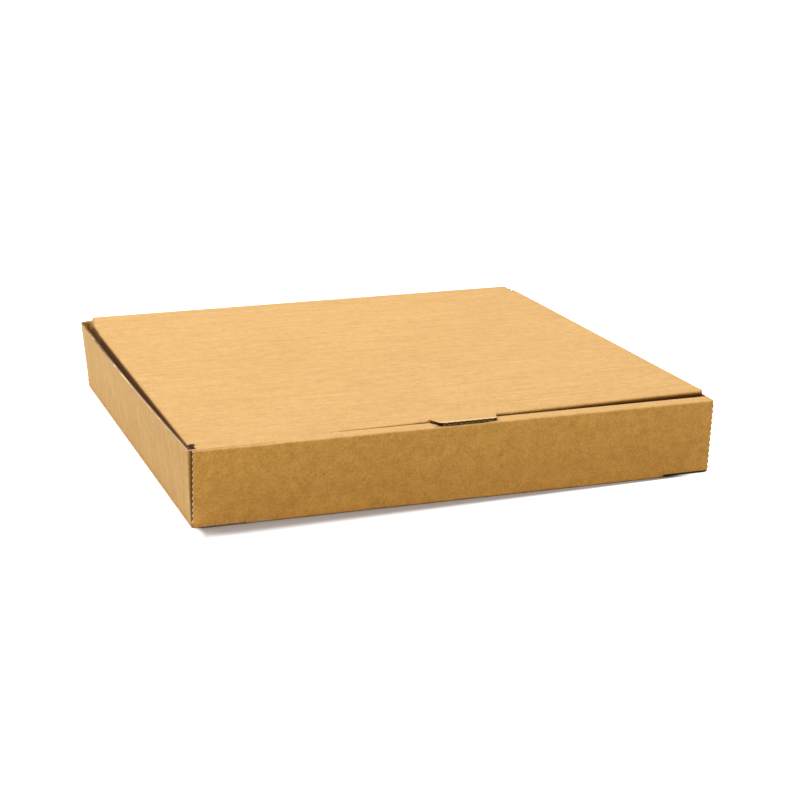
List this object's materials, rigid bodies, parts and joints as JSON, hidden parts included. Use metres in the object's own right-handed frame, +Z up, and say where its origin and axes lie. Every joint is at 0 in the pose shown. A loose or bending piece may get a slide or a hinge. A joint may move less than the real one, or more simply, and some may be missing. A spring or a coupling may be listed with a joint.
{
  "type": "pizza box",
  "caption": "Closed pizza box of brown corrugated board with a rolled-over front wall, zigzag wall edges, a thumb tab and a lid hinged at the rear.",
  "frame": {"origin": "middle of the underside, half way between the tray's side walls and between the feet of its front and rear walls", "axes": "+Z up, -Y towards the front wall with the thumb tab, +Y towards the hinge, +X to the right seen from the front"},
  "size_m": [0.3122, 0.3169, 0.0478],
  "materials": {
    "kraft_board": "matt kraft paper"
  },
  "bodies": {
    "tray": {"tray": "kraft_board"},
    "lid": {"lid": "kraft_board"}
  },
  "joints": [
    {"name": "lid_hinge", "type": "hinge", "parent": "tray", "child": "lid", "pos_m": [0, 0.156, 0.04505], "axis": [-1, 0, 0], "range_deg": [0, 180]}
  ]
}
